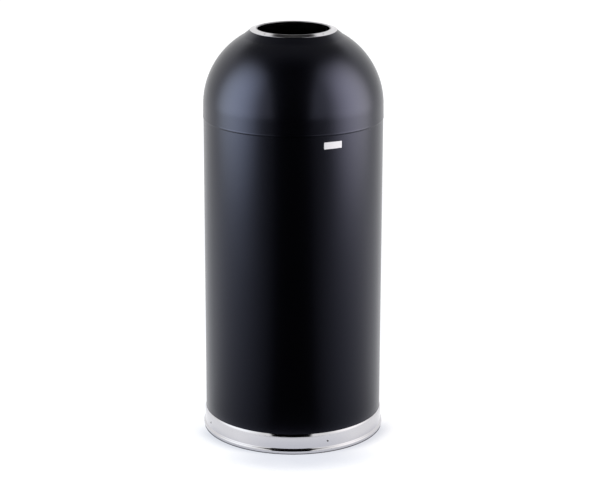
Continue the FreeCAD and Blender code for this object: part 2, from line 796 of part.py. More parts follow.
def lay_bail(body):
    """Puts a bail piece, drawn flat about the pivot, at the pivot's height and rest tilt."""
    body.Placement = FreeCAD.Placement(FreeCAD.Vector(), FreeCAD.Rotation(FreeCAD.Vector(1, 0, 0), 1))
    bind(body, "Placement.Base.z", pivot_height)
    bind(body, "Placement.Rotation.Angle", size("bail_rest"))


def make_bail_wire():
    wire = new_body("bail_wire")
    bend = size("bail_bend")
    head_far = ear_face - ear_sheet - size("bail_head_play")
    head_near = worked("bail_end", head_far - size("bail_head_height"))
    bend_reach = bail_radius - bend
    bend_across = worked("bend_across", root(bend_reach * bend_reach - bend * bend))
    share = bail_radius / bend_reach
    bend_centre = Point(bend_across, bend)

    path = new_sketch(wire, "path", "XY_Plane")
    draw(path, Point(head_near, 0), (
        Point(bend_across, 0),
        Bend(Point(bend_across * share, bend * share), bend_centre, ANTICLOCKWISE),
        Bend(Point(0, bail_radius), Point(0, 0), ANTICLOCKWISE),
    ), closed=False)
    ring = new_sketch(wire, "round", "YZ_Plane")
    ring.AttachmentOffset = FreeCAD.Placement()
    bind(ring, "AttachmentOffset.Base.z", head_near)
    draw_circle(ring, Point(0, 0), size("bail_wire_radius"))
    pipe = wire.newObject("PartDesign::AdditivePipe", "bail_wire_pipe")
    pipe.Profile = ring
    pipe.Spine = (path, ["Edge1", "Edge2", "Edge3"])

    upset = new_sketch(wire, "upset", "XY_Plane")
    draw(upset, Point(head_near, 0), (
        Point(head_far, 0),
        Point(head_far, size("bail_head")),
        Point(head_near, size("bail_head")),
        Point(head_near, 0),
    ))
    head = revolve(wire, upset, axis="H_Axis")
    mirror = wire.newObject("PartDesign::Mirrored", "bail_wire_mirror")
    mirror.Originals = [pipe, head]
    mirror.MirrorPlane = (origin_feature(wire, "YZ_Plane"), [""])
    wire.Tip = mirror
    lay_bail(wire)
    return wire


def make_bail_grip():
    grip = new_body("bail_grip")
    sketch = new_sketch(grip, "section", "YZ_Plane")
    for radius in (size("grip_radius"), size("bail_wire_radius") + fit_gap):
        draw_circle(sketch, Point(bail_radius, 0), radius)
    revolve(grip, sketch, angle=size("grip_spread"), midplane=True)
    lay_bail(grip)
    return grip


RIGHT_SIDE = 0.0
LEFT_SIDE = 180.0

sub_parts = [
    make_body_shell(),
    make_neck_collar(),
    make_base_ring(),
    make_floor_ring(),
    make_base_plate(),
    make_base_rivets(),
    make_dome_shell(),
    make_opening_ring(),
    make_ring_rivets(),
    make_liner_wall(),
    make_liner_bottom(),
    make_rim_wire(),
    make_ear("bail_ear_right", RIGHT_SIDE),
    make_ear("bail_ear_left", LEFT_SIDE),
    make_ear_rivets(),
    make_bail_wire(),
    make_bail_grip(),
]
doc.recompute()

faults = [item.Label for item in doc.Objects if "Invalid" in item.State or "Error" in item.State]
faults += [item.Label for item in sub_parts if item.Shape.isNull() or not item.Shape.isValid()]
if faults:
    raise RuntimeError(f"these did not build: {', '.join(faults)}")

os.makedirs("parts", exist_ok=True)
for item in sub_parts:
    item.Shape.exportStep(f"parts/{item.Label}.step")
    box = item.Shape.BoundBox
    print(f"{item.Label}: {len(item.Shape.Solids)} solids, {item.Shape.Volume / 1000:.2f} cm3, "
          f"z {box.ZMin:.2f} to {box.ZMax:.2f}, widest {max(box.XLength, box.YLength):.2f}")
print(f"bail pivot at z {pivot_height.number:.3f}, rim at z {rim_up.number:.3f}")
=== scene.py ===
# %% [markdown]
# # An open-top trash can
# A black coated steel can stands on a bright base ring. A dome lifts off its top, with a round
# opening that a bright ring trims, and a galvanised liner with a bail handle stands inside. The
# pieces were built at their real size beforehand, and this lesson dresses them: it loads that
# frame, builds a finer mesh where a piece is seen closely, and gives each surface its finish.

# %% Load the frame
import json
import math

import bmesh
import bpy
from mathutils import Matrix, Vector


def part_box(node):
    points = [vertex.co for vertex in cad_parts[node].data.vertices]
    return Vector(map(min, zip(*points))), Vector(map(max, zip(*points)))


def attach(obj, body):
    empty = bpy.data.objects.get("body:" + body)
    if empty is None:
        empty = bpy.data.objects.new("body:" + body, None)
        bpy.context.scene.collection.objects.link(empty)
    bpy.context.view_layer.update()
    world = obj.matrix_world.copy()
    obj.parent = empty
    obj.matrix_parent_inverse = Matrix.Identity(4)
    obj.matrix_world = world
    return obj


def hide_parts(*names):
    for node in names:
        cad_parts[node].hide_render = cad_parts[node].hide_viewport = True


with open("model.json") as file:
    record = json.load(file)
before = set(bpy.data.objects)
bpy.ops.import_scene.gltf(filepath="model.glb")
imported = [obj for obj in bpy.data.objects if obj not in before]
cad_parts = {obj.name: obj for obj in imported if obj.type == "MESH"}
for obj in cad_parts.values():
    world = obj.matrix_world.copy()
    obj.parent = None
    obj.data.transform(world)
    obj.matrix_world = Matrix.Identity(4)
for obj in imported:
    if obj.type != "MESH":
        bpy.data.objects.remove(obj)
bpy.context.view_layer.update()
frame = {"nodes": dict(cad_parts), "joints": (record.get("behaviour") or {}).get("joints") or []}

MM = 0.001
FRONT = math.radians(-90)

# %% [markdown]
# ## Camera
# A long lens looks slightly down on the can from its front left. The can could be framed by eye,
# but its upright edges, its seam and its two bright rings fix the view: their ellipses give the
# height of the lens, and the way the edges close towards the floor gives its distance.

# %% Place the camera
LENS_MM = 122.98
CAMERA_TURN = math.radians(-25.7)
CAMERA_DISTANCE = 4.2249
CAMERA_HEIGHT = 1.681
CAMERA_PITCH = math.radians(16.664)
CAMERA_ROLL = math.radians(0.094)
CAN_LEFT_OF_MIDDLE = 6.86 / 600


def round_the_can(turn, distance, height):
    """A place at this turn from the front, as a walker round the can would count it."""
    return Vector((distance * math.sin(turn), -distance * math.cos(turn), height))


camera_data = bpy.data.cameras.new("camera")
camera_data.lens = LENS_MM
camera_data.shift_x = CAN_LEFT_OF_MIDDLE
camera = bpy.data.objects.new("camera", camera_data)
camera.location = round_the_can(CAMERA_TURN, CAMERA_DISTANCE, CAMERA_HEIGHT)
look_down = Matrix.Rotation(math.radians(90) - CAMERA_PITCH, 3, "X")
camera.rotation_euler = (
    Matrix.Rotation(CAMERA_TURN, 3, "Z") @ look_down @ Matrix.Rotation(CAMERA_ROLL, 3, "Z")
).to_euler()
bpy.context.scene.collection.objects.link(camera)
bpy.context.scene.camera = camera
bpy.context.scene.view_settings.view_transform = "Standard"
print(f"camera {camera.location.length:.2f} m from the foot of the can")

# %% [markdown]
# ## Shader maths
# A finish is a graph of nodes. Graphs written node by node hide what they work out, so a socket
# is wrapped in a small class here: adding, multiplying or comparing such signals adds the Math
# nodes. Every other node comes from one method, which takes the node's kind, its settings and
# what its sockets hold.


# %% Wrap sockets
class Signal:
    """One output of a shader node. Arithmetic on it adds Math nodes to its material."""

    def __init__(self, socket):
        self.socket = socket

    def math(self, operation, *operands):
        node = self.socket.id_data.nodes.new("ShaderNodeMath")
        node.operation = operation
        for inlet, operand in zip(node.inputs, operands):
            feed(inlet, operand)
        return Signal(node.outputs[0])

    def __add__(self, other):
        return self.math("ADD", self, other)

    def __sub__(self, other):
        return self.math("SUBTRACT", self, other)

    def __rsub__(self, other):
        return self.math("SUBTRACT", other, self)

    def __mul__(self, other):
        return self.math("MULTIPLY", self, other)

    def __gt__(self, other):
        return self.math("GREATER_THAN", self, other)

    def at_least(self, other):
        return self.math("MAXIMUM", self, other)

    __radd__ = __add__
    __rmul__ = __mul__


def feed(inlet, item):
    """Links a signal to an inlet, or sets the inlet to a plain value."""
    if isinstance(item, Signal):
        inlet.id_data.links.new(item.socket, inlet)
    else:
        inlet.default_value = item


# %% Wrap materials
class Graph:
    """The nodes of a material, a lamp or the world."""

    def __init__(self, owner):
        owner.use_nodes = True
        self.tree = owner.node_tree
        self.tree.nodes.clear()

    def node(self, kind, settings, sockets, outlet=0):
        """Adds a node: its settings first, then its sockets. Gives an output as a signal."""
        node = self.tree.nodes.new("ShaderNode" + kind)
        for name, setting in settings.items():
            setattr(node, name, setting)
        for name, item in sockets.items():
            feed(next(inlet for inlet in node.inputs if inlet.identifier == name), item)
        return Signal(node.outputs[outlet]) if node.outputs else None

    def output(self, surface, kind="OutputMaterial"):
        self.node(kind, {}, {"Surface": surface})


def finish(name, make_surface):
    """A material whose surface the function adds to its graph."""
    material = bpy.data.materials.new(name)
    graph = Graph(material)
    graph.output(make_surface(graph))
    print(f"finish {name}: {len(graph.tree.nodes)} nodes")
    return material


# %% [markdown]
# ## Finishes
# Each finish below is made from the place of a point on its piece, in metres, so that grain and
# marks have their real size and travel with the piece when it moves.

# %% Read where a point lies
def place_on_piece(graph):
    return graph.node("TexCoord", {}, {}, "Object")


def stretched(graph, place, along):
    """A place with each axis multiplied by its own number."""
    return graph.node("VectorMath", {"operation": "MULTIPLY"}, {
        "Vector": place, "Vector_001": along,
    })


def length_of(graph, place):
    return graph.node("VectorMath", {"operation": "LENGTH"}, {"Vector": place}, "Value")


def part_of(graph, place, axis):
    return graph.node("SeparateXYZ", {}, {"Vector": place}, axis)


# %% Make noise, ramps and relief
def noise(graph, place, per_metre, detail=2.0, outlet="Fac"):
    """Cloudy noise from 0 to 1, with this many clouds to a metre."""
    return graph.node("TexNoise", {}, {
        "Vector": place, "Scale": per_metre, "Detail": detail,
    }, outlet)


def ramp(graph, amount, low, high):
    """0 up to the low amount, 1 from the high one, and an eased rise between them."""
    return graph.node("MapRange", {"interpolation_type": "SMOOTHSTEP"}, {
        "Value": amount, "From Min": low, "From Max": high,
    })


def bumps(graph, height, depth):
    """Surface relief from a height between 0 and 1 that stands for this depth in metres."""
    return graph.node("Bump", {}, {"Height": height, "Distance": depth})


def blend_colours(graph, share, first, second):
    return graph.node("Mix", {"data_type": "RGBA"}, {
        "Factor_Float": share, "A_Color": first, "B_Color": second,
    }, 2)


# %% [markdown]
# ### Black powder coat
# The can and the dome are sprayed with powder and baked. The coat is black with a satin gloss: it
# flows out almost flat but keeps a fine dimpled skin, and its gloss wanders a little over a hand's
# width. A plain black with one roughness would look like plastic, so the dimples go into the
# relief and the wandering gloss into the roughness.

# %% Mix the black coat
COAT_BLACK = (0.0004, 0.0004, 0.0008, 1)
COAT_SHEEN = (0.69, 0.72, 1.0, 1)
COAT_GLOSS = 0.43
COAT_ROUGHNESS = 0.25
COAT_GLOSS_WANDER = 0.02
WANDER_PER_METRE = 9
DIMPLES_PER_METRE = 420
DIMPLE_DEPTH = 0.00003


def black_coat_surface(graph):
    place = place_on_piece(graph)
    dimples = noise(graph, place, DIMPLES_PER_METRE)
    wander = noise(graph, place, WANDER_PER_METRE, detail=3.0)
    return graph.node("BsdfPrincipled", {}, {
        "Base Color": COAT_BLACK,
        "Specular IOR Level": COAT_GLOSS,
        "Specular Tint": COAT_SHEEN,
        "Roughness": COAT_ROUGHNESS + (wander - 0.5) * (2 * COAT_GLOSS_WANDER),
        "Normal": bumps(graph, dimples, DIMPLE_DEPTH),
    })


black_coat = finish("black_powder_coat", black_coat_surface)

# %% [markdown]
# ### Polished steel
# Both rings are pressed from bright sheet and polished while they turn. What is left of the
# polishing are very fine lines round the ring, seen only where a lamp glances off, so they go into
# the roughness and a relief of a few thousandths of a millimetre. The polishing wheel can't follow
# the tight roll at the opening, which stays satin.

# %% Mix the polished steel
STEEL_COLOUR = (0.62, 0.61, 0.63, 1)
STEEL_ROUGHNESS = 0.07
SMEARS_PER_METRE = 30
SMEAR_DULLS = 0.05
POLISH_LINES_PER_METRE = 2600
POLISH_DULLS = 0.03
POLISH_DEPTH = 0.000002
ROLL_REACHES = 0.0783
ROLL_STARTS = 0.8770
ROLL_FADES = 0.0006
ROLL_SATIN = 0.55


def polished_steel_surface(graph):
    place = place_on_piece(graph)
    across = length_of(graph, stretched(graph, place, (1, 1, 0)))
    up = part_of(graph, place, "Z")
    turned = graph.node("CombineXYZ", {}, {"X": across, "Y": up})
    lines = noise(graph, turned, POLISH_LINES_PER_METRE, detail=3.0)
    near_opening = 1 - ramp(graph, across, ROLL_REACHES, ROLL_REACHES + ROLL_FADES)
    rolled = near_opening * ramp(graph, up, ROLL_STARTS, ROLL_STARTS + ROLL_FADES)
    smears = noise(graph, place, SMEARS_PER_METRE, detail=4.0)
    polish = STEEL_ROUGHNESS + smears * SMEAR_DULLS + (lines - 0.5) * POLISH_DULLS
    return graph.node("BsdfPrincipled", {}, {
        "Base Color": STEEL_COLOUR,
        "Metallic": 1.0,
        "Roughness": polish + rolled * ROLL_SATIN,
        "Normal": bumps(graph, lines, POLISH_DEPTH),
    })


polished_steel = finish("polished_steel", polished_steel_surface)

# %% [markdown]
# ### Galvanised sheet
# The liner is dipped in zinc, which freezes into flat crystals a centimetre across. Each crystal
# shines a little differently. A texture of cells gives that spangle: every cell takes its own shade
# and its own gloss, noise frays the cells' edges, and finer noise feathers each crystal.

# %% Mix the galvanised sheet
ZINC_DARK = (0.34, 0.36, 0.38, 1)
ZINC_BRIGHT = (0.58, 0.60, 0.62, 1)
ZINC_ROUGHNESS = 0.32
CRYSTALS_PER_METRE = 95
CRYSTAL_SHADE = 0.7
CRYSTAL_DULLS = 0.14
FRAYS_PER_METRE = 160
FRAY = (0.006, 0.006, 0.006)
FEATHERS_PER_METRE = 700
FEATHER_STRETCH = (1, 1, 3)
FEATHER_DULLS = 0.06
ZINC_RELIEF = 0.00001


def galvanised_surface(graph):
    place = place_on_piece(graph)
    frays = noise(graph, place, FRAYS_PER_METRE, detail=3.0, outlet="Color")
    frayed = graph.node("VectorMath", {"operation": "MULTIPLY_ADD"}, {
        "Vector": frays, "Vector_001": FRAY, "Vector_002": place,
    })
    cells = graph.node("TexVoronoi", {}, {"Vector": frayed, "Scale": CRYSTALS_PER_METRE}, "Color")
    shade = graph.node("SeparateColor", {}, {"Color": cells}, "Red")
    feathers = noise(graph, stretched(graph, frayed, FEATHER_STRETCH), FEATHERS_PER_METRE, detail=3.0)
    spangle = shade * CRYSTAL_SHADE + feathers * (1 - CRYSTAL_SHADE)
    return graph.node("BsdfPrincipled", {}, {
        "Base Color": blend_colours(graph, spangle, ZINC_DARK, ZINC_BRIGHT),
        "Metallic": 1.0,
        "Roughness": ZINC_ROUGHNESS + shade * CRYSTAL_DULLS + feathers * FEATHER_DULLS,
        "Normal": bumps(graph, feathers + shade, ZINC_RELIEF),
    })


galvanised = finish("galvanised_sheet", galvanised_surface)

# %% [markdown]
# ### Rubber and moulded grip
# The floor ring is black rubber with the fine grain of its mould. The grip is a harder plastic with
# a little more gloss. Both are one kind of surface with different numbers: a grain in the relief,
# and paler scuffs where hands and floors have rubbed.

# %% Mix the rubber and the plastic
RUBBER_BLACK = (0.022, 0.022, 0.023, 1)
GRIP_BLACK = (0.018, 0.018, 0.02, 1)
SCUFFS_PER_METRE = 60
SCUFF_SHARE = 0.5
SCUFF_PALER = 1.8
GRAIN_DULLS = 0.1


def moulded_surface(graph, colour, roughness, grains_per_metre, grain_depth):
    place = place_on_piece(graph)
    grain = noise(graph, place, grains_per_metre, detail=3.0)
    scuffs = noise(graph, place, SCUFFS_PER_METRE, detail=5.0)
    pale = tuple(min(1, SCUFF_PALER * part) for part in colour[:3]) + (1,)
    return graph.node("BsdfPrincipled", {}, {
        "Base Color": blend_colours(graph, scuffs * SCUFF_SHARE, colour, pale),
        "Roughness": roughness + (grain - 0.5) * GRAIN_DULLS,
        "Normal": bumps(graph, grain, grain_depth),
    })


def rubber_surface(graph):
    return moulded_surface(graph, RUBBER_BLACK, roughness=0.75,
                           grains_per_metre=1500, grain_depth=0.00006)


def grip_surface(graph):
    return moulded_surface(graph, GRIP_BLACK, roughness=0.5,
                           grains_per_metre=1100, grain_depth=0.00004)


floor_rubber = finish("moulded_rubber", rubber_surface)
grip_plastic = finish("moulded_grip", grip_surface)

# %% [markdown]
# ### White enamel
# The small plate on the front is fired white enamel. It flows out smooth and glossy while it melts,
# and what stays is a very shallow waviness, so one noise feeds both its gloss and its relief.

# %% Mix the enamel
ENAMEL_WHITE = (0.86, 0.86, 0.87, 1)
ENAMEL_ROUGHNESS = 0.18
WAVES_PER_METRE = 250
WAVE_DULLS = 0.08
WAVE_DEPTH = 0.00002


def enamel_surface(graph):
    waves = noise(graph, place_on_piece(graph), WAVES_PER_METRE)
    return graph.node("BsdfPrincipled", {}, {
        "Base Color": ENAMEL_WHITE,
        "Roughness": ENAMEL_ROUGHNESS + waves * WAVE_DULLS,
        "Normal": bumps(graph, waves, WAVE_DEPTH),
    })


white_enamel = finish("white_enamel", enamel_surface)

# %% [markdown]
# ## Turned pieces
# Most of this can is round: rolled, spun or pressed over a form that turns. So a piece is drawn as
# a line across its sheet, given its thickness and turned round the axis. A spin tool in the modeller
# would do the same, but a function keeps the line as a few arcs and straight runs with named sizes.
# Where the line breaks sharply the edge is marked sharp, and elsewhere the facets are shaded as one
# smooth skin.

# %% Draw arcs and eased corners
EASE_STEPS = 8


def arc(centre, radius, first, last, steps=10):
    """Points round part of a circle, with angles in degrees from straight out."""
    across, up = centre
    turns = [math.radians(first + (last - first) * step / steps) for step in range(steps + 1)]
    return [(across + radius * math.cos(turn), up + radius * math.sin(turn)) for turn in turns]


def eased(before, corner, after, radius):
    """The corner of a line rounded off: points of the arc that touches both of its runs."""
    corner = Vector(corner)
    arriving = (corner - Vector(before)).normalized()
    leaving = (Vector(after) - corner).normalized()
    inward = (leaving - arriving).normalized()
    half_turn = arriving.angle(leaving) / 2
    centre = corner + inward * (radius / math.cos(half_turn))
    middle = math.degrees(math.atan2(-inward.y, -inward.x))
    sweep = math.degrees(half_turn) * (1 if arriving.cross(leaving) > 0 else -1)
    return arc(centre, radius, middle - sweep, middle + sweep, EASE_STEPS)


# %% Give a line the thickness of its sheet
def beside(line, gap):
    """The line again, this far to its left, with its corners kept square."""
    points = [Vector(point) for point in line]
    ways = [(after - before).normalized() for before, after in zip(points, points[1:])]
    ways = [ways[0]] + ways + [ways[-1]]
    moved = []
    for point, arriving, leaving in zip(points, ways, ways[1:]):
        middle = (arriving + leaving).normalized()
        reach = gap / middle.dot(leaving)
        moved.append((point.x - middle.y * reach, point.y + middle.x * reach))
    return moved


def sheet(line, gauge):
    """The closed section of a sheet: the line, and back along its left side."""
    return line + beside(line, gauge)[::-1]


# %% Turn a section into a mesh
SHARP = math.radians(28)
AROUND = 180
ON_AXIS = 1e-7


def smooth_mesh(name, build, sharp=SHARP):
    """Turns a bmesh into a mesh with outward faces, smooth but for its sharp edges."""
    bmesh.ops.recalc_face_normals(build, faces=build.faces)
    for face in build.faces:
        face.smooth = True
    for edge in build.edges:
        edge.smooth = edge.calc_face_angle(0) < sharp
    mesh = bpy.data.meshes.new(name)
    build.to_mesh(mesh)
    build.free()
    return mesh


def add_turned(build, section, around=AROUND, where=Matrix()):
    """Turns a closed section round its upright axis and adds it to the bmesh, at its place."""
    turns = [2 * math.pi * step / around for step in range(around)]
    rings = []
    for across, up in section:
        if across < ON_AXIS:
            rings.append([build.verts.new(where @ Vector((0, 0, up)))] * around)
            continue
        rings.append([
            build.verts.new(where @ Vector((across * math.cos(turn), across * math.sin(turn), up)))
            for turn in turns
        ])
    for ring, following in zip(rings, rings[1:] + rings[:1]):
        for step in range(around):
            after = (step + 1) % around
            corners = dict.fromkeys((ring[step], ring[after], following[after], following[step]))
            if len(corners) > 2:
                build.faces.new(corners)


def turned_mesh(name, section, sharp=SHARP):
    build = bmesh.new()
    add_turned(build, section)
    return smooth_mesh(name, build, sharp)


print(f"turned pieces have {AROUND} facets round the can")


# %% Fit a piece to its body
def fit(mesh, material, body, slot, *nodes):
    """Makes a mesh into a piece that rides on a body and stands for the nodes it replaces."""
    piece = bpy.data.objects.new(mesh.name, mesh)
    bpy.context.scene.collection.objects.link(piece)
    mesh.materials.append(material)
    flat = piece.modifiers.new("long_faces_stay_true", "WEIGHTED_NORMAL")
    flat.keep_sharp = True
    flat.weight = 100
    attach(piece, body)
    if nodes:
        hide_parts(*nodes)
    print(f"{piece.name}: {len(mesh.polygons)} faces on {body}")
    return piece


def dress(material, *nodes):
    """Gives nodes that keep their own shape a finish."""
    for node in nodes:
        slots = frame["nodes"][node].data.materials
        slots.clear()
        slots.append(material)
    print(f"{material.name} on {', '.join(nodes)}")


# %% [markdown]
# ## Body
# The body is one sheet rolled into a drum, and a collar inside its mouth holds the dome in place.
# The drum is two straight lines on paper, so its mesh needs few rings, but many facets round it to
# keep the edge against a pale ground smooth.

# %% Roll the body
SHELL_GAUGE = 0.8 * MM
SHELL_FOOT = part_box("body_shell")[0].z
SHELL_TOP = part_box("body_shell")[1].z
BODY_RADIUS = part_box("body_shell")[1].x
EDGE_EASE = 0.25 * MM
ROWS_UP_THE_BODY = 12


def upright(across, low, high):
    rows = [row / ROWS_UP_THE_BODY for row in range(ROWS_UP_THE_BODY + 1)]
    return [(across, low + (high - low) * row) for row in rows]


def body_section():
    edge_middle = (BODY_RADIUS - EDGE_EASE, SHELL_TOP - EDGE_EASE)
    outside = upright(BODY_RADIUS, SHELL_FOOT, SHELL_TOP - EDGE_EASE)
    edge = arc(edge_middle, EDGE_EASE, 0, 90, steps=4)
    inside = upright(BODY_RADIUS - SHELL_GAUGE, SHELL_TOP, SHELL_FOOT)
    return outside + edge[1:] + inside


fit(turned_mesh("rolled_body", body_section()), black_coat, "can", "black_coat", "body_shell")
dress(black_coat, "neck_collar", "base_plate")

# %% [markdown]
# ## Base ring
# The bright ring round the foot is pressed in one stroke: a sloped shoulder, a straight band, a
# hollow that flares out and a bead that carries the can, with a flange turned in underneath. Its
# reflections draw every one of those bends. Shoulder and hollow meet the band at a crease, where
# the dark marks in the photograph end in straight lines, and the hollow runs into the bead without
# a corner. The creases are slight, so this piece has a lower limit for sharp edges.

# %% Press the base ring
BASE_GAUGE = 1.0 * MM
BASE_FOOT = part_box("base_ring")[0].z
BASE_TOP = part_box("base_ring")[1].z
BEAD_RADIUS = 5.2 * MM
HOLLOW_RADIUS = 4.0 * MM
HOLLOW_TILT = math.radians(14)
BAND_STAND = 2.4 * MM
BAND_RADIUS = BODY_RADIUS + BAND_STAND
SHOULDER_HEIGHT = 5.0 * MM
SHOULDER_TILT = math.radians(14)
SHOULDER_GAP = 0.3 * MM
FLANGE_WIDTH = 9.3 * MM
LIP_TURN = 20
LIP_REACH = 3.6 * MM
LIP_EASE = 0.5 * MM
CREASE = math.radians(10)


def shoulder_arc():
    depth = BAND_STAND - SHOULDER_GAP
    top_tilt = 2 * math.atan(depth / SHOULDER_HEIGHT) - SHOULDER_TILT
    radius = SHOULDER_HEIGHT / (math.sin(top_tilt) - math.sin(SHOULDER_TILT))
    centre = (BAND_RADIUS - radius * math.cos(SHOULDER_TILT), BASE_TOP - radius * math.sin(top_tilt))
    return arc(centre, radius, math.degrees(top_tilt), math.degrees(SHOULDER_TILT))


def base_ring_line():
    bead = Vector((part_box("base_ring")[1].x - BEAD_RADIUS, BASE_FOOT + BEAD_RADIUS))
    hollow_across = BAND_RADIUS + HOLLOW_RADIUS * math.cos(HOLLOW_TILT) - bead.x
    hollow_up = math.sqrt((HOLLOW_RADIUS + BEAD_RADIUS) ** 2 - hollow_across ** 2)
    lean = math.degrees(math.atan2(hollow_up, hollow_across))
    hollow = bead + Vector((hollow_across, hollow_up))
    lip = bead.x + LIP_REACH
    return (
        shoulder_arc()
        + arc(hollow, HOLLOW_RADIUS, 180 + math.degrees(HOLLOW_TILT), 180 + lean, steps=14)
        + arc(bead, BEAD_RADIUS, lean, -LIP_TURN, steps=20)[1:]
        + [(lip, BASE_FOOT + LIP_EASE), (lip - LIP_EASE, BASE_FOOT)]
        + [(bead.x - FLANGE_WIDTH, BASE_FOOT)]
    )


base_section = sheet(base_ring_line(), -BASE_GAUGE)
base_mesh = turned_mesh("pressed_base_ring", base_section, CREASE)
fit(base_mesh, polished_steel, "can", "bright_trim", "base_ring")
dress(floor_rubber, "floor_ring")

# %% [markdown]
# ## Dome
# The dome is spun from one disc: a straight skirt, a long arc up the side and a flatter crown, with
# a raised seat for the opening ring that is flatter still. Its lower edge is rolled outward into a
# small bead, which catches the light as a fine line above the dark gap. The opening ring needs the
# slope of the seat too, so the sizes of both stand here.

# %% Size the dome
DOME_GAUGE = 0.8 * MM
DOME_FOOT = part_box("dome_shell")[0].z
DOME_BEAD = 2.4 * MM
DOME_BEAD_STAND = 0.6 * MM
DOME_BEAD_RELIEF = 0.18 * MM
DOME_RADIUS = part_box("dome_shell")[1].x - DOME_BEAD_STAND
SKIRT_HEIGHT = 27.9 * MM
SPRING = DOME_FOOT + SKIRT_HEIGHT
SIDE_ARC_INSET = 22.4 * MM
SIDE_ARC = DOME_RADIUS - SIDE_ARC_INSET
OPENING_RADIUS = 76.0 * MM
FLANGE_OUT = 8.5 * MM
FLANGE_MIDDLE = OPENING_RADIUS + FLANGE_OUT
FLANGE_HALF = 6.5 * MM
CROWN_MARGIN = 7.1 * MM
CROWN_EDGE = FLANGE_MIDDLE + FLANGE_HALF + CROWN_MARGIN
CROWN_TURN = math.acos((CROWN_EDGE - SIDE_ARC_INSET) / SIDE_ARC)
CROWN_RADIUS = CROWN_EDGE / math.cos(CROWN_TURN)
CROWN_CENTRE = SPRING + (SIDE_ARC - CROWN_RADIUS) * math.sin(CROWN_TURN)
FLANGE_LEVEL = CROWN_CENTRE + math.sqrt(CROWN_RADIUS ** 2 - FLANGE_MIDDLE ** 2)
SLOPE = math.radians(13.0)
SEAT_RISE = 3.0 * MM
SEAT_OUT = 6.2 * MM
SEAT_RUN = 16.0 * MM
SEAT_IN = 5.0 * MM
STEP_FOOT_EASE = 40.0 * MM
STEP_TOP_EASE = 1.5 * MM
print(f"crown radius {CROWN_RADIUS / MM:.1f} mm, seat slopes {math.degrees(SLOPE):.1f} degrees")


# %% Spin the dome
def on_slope(along, above):
    """A point from the flange's middle: along runs down the dome, above stands off it."""
    return (FLANGE_MIDDLE + along * math.cos(SLOPE) + above * math.sin(SLOPE),
            FLANGE_LEVEL - along * math.sin(SLOPE) + above * math.cos(SLOPE))


def bead_arc(depth, way):
    """From the bead's crest down (-1) or up (1) over half its height, falling back by a depth."""
    radius = (DOME_BEAD ** 2 + depth ** 2) / (2 * depth)
    centre = (DOME_RADIUS + DOME_BEAD_STAND - radius, DOME_FOOT + DOME_BEAD)
    return arc(centre, radius, 0, way * math.degrees(math.asin(DOME_BEAD / radius)))


def dome_section():
    seat_foot = FLANGE_MIDDLE + (SEAT_OUT + SEAT_RUN) * math.cos(SLOPE)
    foot_turn = math.degrees(math.acos((seat_foot - SIDE_ARC_INSET) / SIDE_ARC))
    side = arc((SIDE_ARC_INSET, SPRING), SIDE_ARC, 0, foot_turn, steps=36)
    step_top = on_slope(SEAT_OUT, SEAT_RISE)
    seat_end = on_slope(-SEAT_IN, SEAT_RISE)
    line = (
        side[:-1]
        + eased(side[-2], side[-1], step_top, STEP_FOOT_EASE)
        + eased(side[-1], step_top, seat_end, STEP_TOP_EASE)
        + [seat_end]
    )
    hem = bead_arc(DOME_BEAD_STAND, -1)[::-1] + bead_arc(DOME_BEAD_RELIEF, 1)[1:]
    return [(DOME_RADIUS - DOME_GAUGE, DOME_FOOT)] + hem + sheet(line, DOME_GAUGE)


fit(turned_mesh("spun_dome", dome_section()), black_coat, "dome", "black_coat", "dome_shell")

# %% [markdown]
# ## Opening ring
# The ring round the opening is pressed from flat sheet: its flange lies on the dome's seat, and its
# inner edge rolls over into a collar that guards the cut edge. Its outer corner is barely broken, so
# it is drawn on the outside alone: an arc that tight has no inner side.

# %% Press the opening ring
RING_GAUGE = 1.0 * MM
RING_GAP = 0.1 * MM
RING_CORNER = 0.3 * MM
CREST_RADIUS = 1.7 * MM
COLLAR_DEPTH = 16.0 * MM
RING_UNDERSIDE = SEAT_RISE + RING_GAP
RING_TOP = RING_UNDERSIDE + RING_GAUGE


def opening_ring_section():
    crest_across = OPENING_RADIUS + CREST_RADIUS
    rise = (RING_TOP - CREST_RADIUS) * math.sin(SLOPE)
    crest_along = (crest_across - FLANGE_MIDDLE - rise) / math.cos(SLOPE)
    crest = on_slope(crest_along, RING_TOP - CREST_RADIUS)
    corner = on_slope(FLANGE_HALF - RING_CORNER, RING_TOP - RING_CORNER)
    collar_foot = FLANGE_LEVEL - COLLAR_DEPTH
    lean = 90 - math.degrees(SLOPE)
    return (
        [(OPENING_RADIUS, collar_foot)]
        + arc(crest, CREST_RADIUS, 180, lean, steps=14)
        + arc(corner, RING_CORNER, lean, lean - 90, steps=6)
        + [on_slope(FLANGE_HALF, RING_UNDERSIDE)]
        + arc(crest, CREST_RADIUS - RING_GAUGE, lean, 180)
        + [(OPENING_RADIUS + RING_GAUGE, collar_foot)]
    )


ring_mesh = turned_mesh("pressed_opening_ring", opening_ring_section())
fit(ring_mesh, polished_steel, "dome", "bright_trim", "opening_ring")

# %% [markdown]
# ## Rivets
# Blind rivets hold both rings. Such a rivet is a low round head with a hole in its middle, where the
# pin was pulled through and snapped off. The faces in the hole, its wall and the end of the pin, take
# a near-black finish of their own. The snapped end is rough dark steel, and the near black also
# paints the shade in the hole, so that from a distance it is a dark dot.

# %% Mix the pin's end and the painted shade in its hole
HOLE_PAINTED_SHADE_DARK = (0.02, 0.02, 0.022, 1)
HOLE_PAINTED_SHADE_PALE = (0.06, 0.058, 0.058, 1)
PIN_ROUGHNESS = 0.5
BREAKS_PER_METRE = 2500
BREAK_DULLS = 0.3
BREAK_DEPTH = 0.00005
